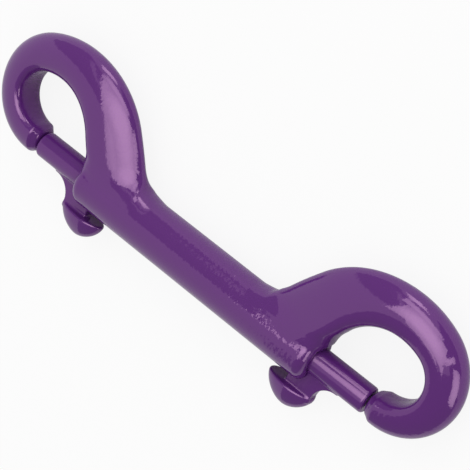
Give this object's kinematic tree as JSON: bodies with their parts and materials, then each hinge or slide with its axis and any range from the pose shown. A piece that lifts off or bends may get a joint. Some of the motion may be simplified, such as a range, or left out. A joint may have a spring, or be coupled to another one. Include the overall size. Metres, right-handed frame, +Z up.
{
  "type": "double ended bolt snap",
  "caption": "Cast double ended snap: a round barrel with an open hook at each end, each closed by a spring-loaded sliding bolt with a half-dome thumb knob.",
  "frame": {"origin": "under the middle of the snap, at the height of the surface it lies on", "axes": "+X along the barrel from the left end to the right end, +Y towards the hooks, +Z up, square to the plane of the hooks"},
  "size_m": [0.1154, 0.0354, 0.0105],
  "materials": {
    "coat": "glossy purple powder coat",
    "spring": "drawn spring wire"
  },
  "bodies": {
    "body": {"body": "coat", "spring_left": "spring", "spring_right": "spring"},
    "bolt_left": {"bolt_left": "coat"},
    "bolt_right": {"bolt_right": "coat"}
  },
  "joints": [
    {"name": "bolt_left_slide", "type": "slide", "parent": "body", "child": "bolt_left", "axis": [1, 0, 0], "range_m": [0, 0.0115], "stiffness_N_per_m": 300, "springref_m": -0.012, "deforming": ["spring_left"]},
    {"name": "bolt_right_slide", "type": "slide", "parent": "body", "child": "bolt_right", "axis": [-1, 0, 0], "range_m": [0, 0.0115], "stiffness_N_per_m": 300, "springref_m": -0.012, "deforming": ["spring_right"]}
  ]
}
